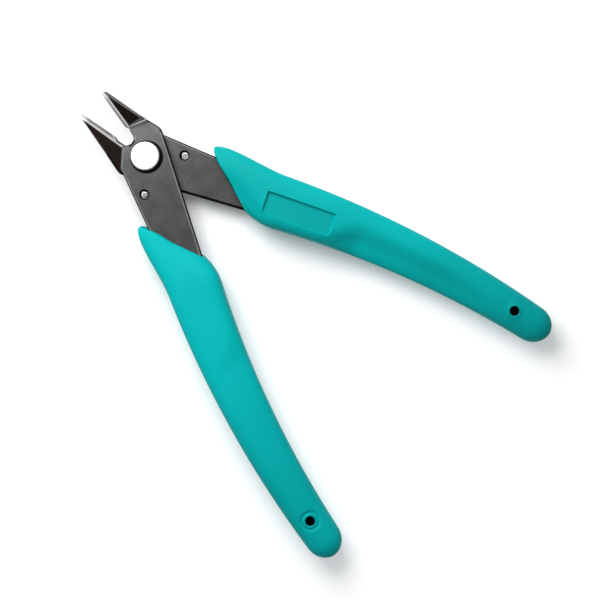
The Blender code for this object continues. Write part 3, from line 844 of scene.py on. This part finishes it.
def grip_sections():
    """Sections of the grip's skin from the lip of its mouth to its rounded end."""
    palm_outer, palm_inner, _, power, crest, fall, _ = palm_section(PALM_START)
    inward = (palm_inner - palm_outer).normalized()
    down = Vector((inward.y, -inward.x))
    first = LIP_DEPTH / (palm_outer - Vector(MOUTH_OUTER)).length
    turns = [math.pi / 2 * step / LIP_STEPS for step in range(LIP_STEPS)]
    places = [(first * (1 - math.cos(turn)), 1 - math.sin(turn)) for turn in turns]
    places += [(mix(first, 1.0, step / MOUTH_STEPS), 0.0) for step in range(MOUTH_STEPS)]
    for share, inset in places:
        outer = hermite(MOUTH_OUTER, MOUTH_OUTER_PULL, palm_outer, down * PALM_OUTER_PULL, share)
        inner = hermite(MOUTH_INNER, MOUTH_INNER_PULL, palm_inner, down * PALM_INNER_PULL, share)
        pull_in = (inner - outer).normalized() * LIP_SIDE * inset
        height = mix(MOUTH_H, PALM_H, ease(share)) - LIP_RISE * inset
        lean = MOUTH_AHEAD * MOUTH_LEAN * (1 - share) ** 2
        yield (outer + pull_in, inner - pull_in, height, power, mix(CREST_MOUTH, crest, ease(share)),
               mix(FALL_MOUTH, fall, ease(share)), lean)
    for step in range(PALM_STEPS + 1):
        yield palm_section(mix(PALM_START, AXIS_END, step / PALM_STEPS))
    _, _, height, power, crest, fall, lean = palm_section(AXIS_END)
    middle, inward = spine(AXIS_END)
    for step in range(1, END_STEPS + 1):
        turn = END_TURN * step / END_STEPS
        side = inward * math.cos(turn) * END_W / 2
        end = middle + Vector((0, -END_ROUND * math.sin(turn)))
        yield (end - side, end + side, height * math.cos(turn) ** END_FULLNESS, power, crest,
               fall * math.cos(turn), lean)


def soft_ramp(distance):
    """0 before the crest and rising with distance after it, with a soft bend between."""
    return CREST_SOFTNESS * math.log(1 + math.exp(distance / CREST_SOFTNESS))


def skin_height(section, across, side):
    """Half height of a face of the skin across a section, from -1 outside to 1 inside."""
    outer, inner, height, power, crest, fall, _ = section
    shoulder = max(0.0, 1 - abs(across) ** power) ** (1 / power)
    inside = (across - crest) * (inner - outer).length / 2
    drop = fall * (soft_ramp(inside) - FALL_LEVEL * soft_ramp(inside - FALL_REACH))
    return shoulder * (height - drop * (FALL_PLAIN if side > 0 else 1) - DOME * across * across)


def skin_point(section, step):
    """Point of the skin on a section, a step of AROUND round it from its outer side."""
    angle = 2 * math.pi * step / AROUND
    power = section[3]
    across = -math.copysign(abs(math.cos(angle)) ** (2 / power), math.cos(angle))
    level = math.copysign(skin_height(section, across, math.sin(angle)), math.sin(angle))
    bulge = MOUTH_BULGE * max(0.0, 1 - ((across - BULGE_AT) / BULGE_REACH) ** 2)
    flat = mix(section[0], section[1], (across + 1) / 2) - section[6] * level
    flat += MOUTH_FACING * bulge * section[6].length / MOUTH_LEAN
    return Vector((*flat, level)) * MM


sections = list(grip_sections())
bpy.ops.mesh.primitive_grid_add(x_subdivisions=AROUND, y_subdivisions=len(sections) - 1)
grip_blank = bpy.context.object
for index, vertex in enumerate(grip_blank.data.vertices):
    row, column = divmod(index, AROUND + 1)
    vertex.co = skin_point(sections[row], column % AROUND)
open_up(grip_blank)
bpy.ops.mesh.remove_doubles(threshold=WELD)
bpy.ops.mesh.fill_holes(sides=0)
bpy.ops.mesh.normals_make_consistent(inside=False)

pin_middle, pin_inward = spine(PIN_AT)
# Rings of the pin hole on each face, inwards: radius and rise over the skin.
PLAIN_HOLE = ((1.85, 0.0), (1.72, 0.05), (1.56, 0.13), (1.4, 0.13), (1.27, 0.05), (1.2, -0.1))
RINGED_HOLE = ((2.75, 0.0), (2.62, -0.03), (2.5, -0.16), (2.36, -0.22), (1.95, -0.22), (1.8, -0.12),
               (1.64, 0.0), (1.44, 0.02), (1.28, -0.06), (1.2, -0.2))
for side, rings, floor in ((1, RINGED_HOLE, RINGED_FLOOR), (-1, PLAIN_HOLE, PLAIN_FLOOR)):
    def near_pin(face):
        middle = face.calc_center_median() / MM
        away = middle.xy - pin_middle
        across = away.dot(pin_inward)
        lengthwise = (away - pin_inward * across).length
        return middle.z * side > PIN_SKIN_OVER and max(abs(across), lengthwise) < PIN_PATCH

    select_where(grip_blank, "FACE", near_pin)
    bpy.ops.mesh.delete(type="FACE")
    bpy.ops.mesh.select_mode(type="EDGE")
    bpy.ops.mesh.select_non_manifold(extend=False)
    for radius, rise in (*rings, (PIN_HOLE_R, None)):
        bpy.ops.mesh.extrude_edges_move()
        shape = bmesh.from_edit_mesh(grip_blank.data)
        for vert in shape.verts:
            if vert.select:
                flat = pin_middle + (vert.co.xy / MM - pin_middle).normalized() * radius
                across = (flat - pin_middle).dot(pin_inward)
                section = palm_section(-(flat - pin_inward * across).y)
                half_w = (section[1] - section[0]).length / 2
                skin = skin_height(section, across / half_w, side)
                level = floor if rise is None else side * (skin + rise)
                vert.co = Vector((*flat, level)) * MM
        bmesh.update_edit_mesh(grip_blank.data)
    bpy.ops.mesh.edge_face_add()
bpy.ops.mesh.select_all(action="SELECT")
bpy.ops.mesh.normals_make_consistent(inside=False)
SKIN, HOLE, PANEL_FLOOR = range(3)
shape = bmesh.from_edit_mesh(grip_blank.data)
for face in shape.faces:
    middle = face.calc_center_median() / MM
    if (middle.xy - pin_middle).length < PIN_HOLE_R and abs(middle.z) < PIN_WALL_UNDER:
        face.material_index = HOLE
bmesh.update_edit_mesh(grip_blank.data)
close_up()

panel_middle, panel_inward = spine(PANEL_AT)
bpy.ops.mesh.primitive_cube_add(size=MM)
panel = bpy.context.object
open_up(panel)
bpy.ops.transform.resize(value=(PANEL_L - 2 * PANEL_DRAFT, PANEL_W - 2 * PANEL_DRAFT, PANEL_REACH))
select_where(panel, "EDGE",
             lambda edge: abs(edge.verts[0].co.z - edge.verts[1].co.z) > PANEL_REACH * MM / 2)
bpy.ops.mesh.bevel(offset=PANEL_CORNER * MM, segments=PANEL_CORNER_SEGMENTS, affect="EDGES")
select_where(panel, "VERT", lambda vert: vert.co.z < 0)
outer_growth = 2 * PANEL_DRAFT * PANEL_REACH / PANEL_DEPTH
bpy.ops.transform.resize(value=(1 + outer_growth / PANEL_L, 1 + outer_growth / PANEL_W, 1))
close_up()
for face in panel.data.polygons:
    face.material_index = PANEL_FLOOR if face.normal.z > NEARLY_FLAT else SKIN
for face in plain_blade.data.polygons:
    face.material_index = HOLE
panel_turn = Matrix((panel_inward.to_3d().cross((0, 0, 1)), panel_inward.to_3d(), (0, 0, 1))).transposed()
panel_flat = panel_middle + panel_inward * PANEL_SHIFT
panel_place = Vector((*panel_flat, PANEL_DEPTH - PALM_H - PANEL_REACH / 2)) * MM
panel.data.transform(Matrix.Translation(panel_place) @ panel_turn.to_4x4())

open_up(plain_blade)
bpy.ops.transform.shrink_fatten(value=TANG_FIT * MM, use_even_offset=True)
close_up()
# The rear moulding is written a shade darker, most of all at its two ends, and each is a little
# paler in its middle. This stands in for the uneven light on the two sides.
FRONT_SHADES = ((Vector((-26, -49, 0)) * MM, (5 * MM, 22 * MM), (1.08, 1.0)),)
REAR_SHADES = (
    (Vector((13, -16, 0)) * MM, (6 * MM, 22 * MM), (0.89, 1.02)),
    (Vector((31.5, -57.7, 0)) * MM, (4 * MM, 15 * MM), (1.09, 1.0)),
    (Vector((37.6, -100.6, 0)) * MM, (3 * MM, 16 * MM), (0.87, 1.0)))
# A teal: dark and light, coarse and fine grain, smooth and rough, depth of the grain, shades by place.
TEALS = (
    ("front_satin_teal", (0.0006, 0.445, 0.450), (0.0010, 0.480, 0.485), (2600, 6000), (0.48, 0.60),
     0.012, FRONT_SHADES),
    ("rear_satin_teal", (0.0006, 0.395, 0.392), (0.0010, 0.425, 0.422), (2600, 6000), (0.48, 0.60),
     0.012, REAR_SHADES),
    # The panel's floor is rougher, and written darker as painted shade in the sunk panel.
    ("rough_teal_painted_shade", (0.0006, 0.335, 0.333), (0.0010, 0.362, 0.360), (3200, 7000), (0.6, 0.75), 0.03, ()))
teals = []
for name, dark, light, grains, gloss, depth, shades in TEALS:
    teal, tree, shader = new_finish(name, 0.0)
    shader.inputs["Specular IOR Level"].default_value = PLASTIC_SHINE
    patches = effect(tree, mottle, Patches=60, Speckle=2600, Speckle_Share=0.25)
    grain = effect(tree, mottle, Patches=grains[0], Speckle=grains[1], Speckle_Share=0.4)
    colour_between(tree, shader, patches, dark, light, shades)
    gloss_between(tree, shader, grain, *gloss)
    relief(tree, shader, grain, depth * MM)
    teals.append(teal)
front_teal, rear_teal, rough_teal_painted_shade = teals
# The pin hole and the tang's slot are written near black, as painted shade deep inside the grip.
hole_painted_shade, tree, shader = new_finish("hole_painted_shade", 0.0)
shader.inputs["Specular IOR Level"].default_value = PLASTIC_SHINE
patches = effect(tree, mottle, Patches=400, Speckle=2600)
colour_between(tree, shader, patches, (0.003, 0.003, 0.003), (0.007, 0.007, 0.007))
gloss_between(tree, shader, patches, 0.6, 0.7)
for material in (front_teal, hole_painted_shade, rough_teal_painted_shade):
    grip_blank.data.materials.append(material)
for cutter in (panel, plain_blade):
    apply_modifier(grip_blank, "BOOLEAN", operation="DIFFERENCE", object=cutter)
    bpy.data.objects.remove(cutter)
pick_up(grip_blank)
bpy.ops.object.shade_smooth_by_angle(angle=GRIP_SMOOTH_UNDER)
for name, node, body, teal, place in (
        ("front_moulded_grip", "front_grip", "front_half", front_teal, front_place),
        ("rear_moulded_grip", "rear_grip", "rear_half", rear_teal, rear_place)):
    grip = placed_copy(grip_blank, name, place)
    grip.data.materials[SKIN] = teal
    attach(grip, body)
    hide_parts(node)
bpy.data.objects.remove(grip_blank)

# The tool lies on a plain white table under one broad soft lamp, seen straight from above.
# The table and the surroundings look white, and the table keeps the tool's shadow.
TABLE_DROP = 0.05 * MM
TABLE_SIZE = 6
TABLE_WHITE = (0.96, 0.98, 1.0, 1)
TABLE_GREY = (0.15, 0.95)        # of the table, under the jaws and away from them
TABLE_GREY_FROM = Vector((0, 0.02, 0))
TABLE_GREY_RUN = (0.014, 0.030)  # distances where those hold
TABLE_LIT = (1.13, 0.40)         # light that falls on the table, near the lamp's foot and far off
TABLE_LIT_RUN = (0.06, 0.29)
AMBIENT = 0.22
LAMP_SIZE = 0.17
LAMP_POWER = 0.64
LAMP_AT = Vector((0.043, 0.10, 0.17))
LAMP_AIM = Vector((0.0, -0.035, 0.0))
VIEW_MIDDLE = Vector((1.2, -52.33, 5.05)) * MM
VIEW_DISTANCE = 350 * MM
VIEW_TURN = math.radians(-45.8)
VIEW_LENS = 84.0


def seen_directly(tree):
    """1 where the camera or a mirror sees the surface, and 0 where light is gathered from it."""
    path = add_node(tree, "ShaderNodeLightPath")
    mirrored = add_node(tree, "ShaderNodeMath", operation="MAXIMUM")
    tree.links.new(path.outputs["Is Glossy Ray"], mirrored.inputs[0])
    tree.links.new(path.outputs["Is Transmission Ray"], mirrored.inputs[1])
    seen = add_node(tree, "ShaderNodeMath", operation="MAXIMUM")
    tree.links.new(path.outputs["Is Camera Ray"], seen.inputs[0])
    tree.links.new(mirrored.outputs["Value"], seen.inputs[1])
    return seen.outputs["Value"]


bpy.ops.mesh.primitive_plane_add(size=TABLE_SIZE, location=(0, 0, -TABLE_DROP))
table = bpy.context.object
table.name = "white_table"
white, tree, shader = new_finish("white_table_top", 0.0)
shader.inputs["Roughness"].default_value = 1.0
shader.inputs["Specular IOR Level"].default_value = 0.0
shader.inputs["Emission Color"].default_value = TABLE_WHITE
grey = share_by_place(tree, TABLE_GREY_FROM, TABLE_GREY_RUN, TABLE_GREY)
tree.links.new(grey, shader.inputs["Base Color"])
lamp_foot = Vector((LAMP_AT.x, LAMP_AT.y, 0))
given_back = add_node(tree, "ShaderNodeMath", operation="MULTIPLY")
tree.links.new(grey, given_back.inputs[0])
tree.links.new(share_by_place(tree, lamp_foot, TABLE_LIT_RUN, TABLE_LIT), given_back.inputs[1])
own_light = add_node(tree, "ShaderNodeMath", operation="SUBTRACT")
own_light.inputs[0].default_value = 1.0
tree.links.new(given_back.outputs["Value"], own_light.inputs[1])
lit_share = add_node(tree, "ShaderNodeMath", operation="MULTIPLY")
tree.links.new(seen_directly(tree), lit_share.inputs[0])
tree.links.new(own_light.outputs["Value"], lit_share.inputs[1])
tree.links.new(lit_share.outputs["Value"], shader.inputs["Emission Strength"])
table.data.materials.append(white)

world = bpy.data.worlds.new("white_room")
world.use_nodes = True
bpy.context.scene.world = world
tree = world.node_tree
gathered = tree.nodes["Background"]
gathered.inputs["Color"].default_value = (1, 1, 1, 1)
gathered.inputs["Strength"].default_value = AMBIENT
shown = add_node(tree, "ShaderNodeBackground", {"Color": (1, 1, 1, 1), "Strength": 1.0})
choice = add_node(tree, "ShaderNodeMixShader")
tree.links.new(seen_directly(tree), choice.inputs["Fac"])
tree.links.new(gathered.outputs["Background"], choice.inputs[1])
tree.links.new(shown.outputs["Background"], choice.inputs[2])
tree.links.new(choice.outputs["Shader"], tree.nodes["World Output"].inputs["Surface"])

lamp = bpy.data.lights.new("soft_lamp", "AREA")
lamp.size = LAMP_SIZE
lamp.energy = LAMP_POWER
lamp_stand = bpy.data.objects.new("soft_lamp", lamp)
lamp_stand.location = LAMP_AT
lamp_stand.rotation_euler = (LAMP_AT - LAMP_AIM).to_track_quat("Z", "Y").to_euler()
lamp_stand.visible_camera = False
bpy.context.collection.objects.link(lamp_stand)

camera = bpy.data.cameras.new("overhead")
camera.lens = VIEW_LENS
camera_stand = bpy.data.objects.new("overhead", camera)
camera_stand.location = VIEW_MIDDLE + Vector((0, 0, VIEW_DISTANCE))
camera_stand.rotation_euler = (0, 0, VIEW_TURN)
bpy.context.collection.objects.link(camera_stand)
bpy.context.scene.camera = camera_stand
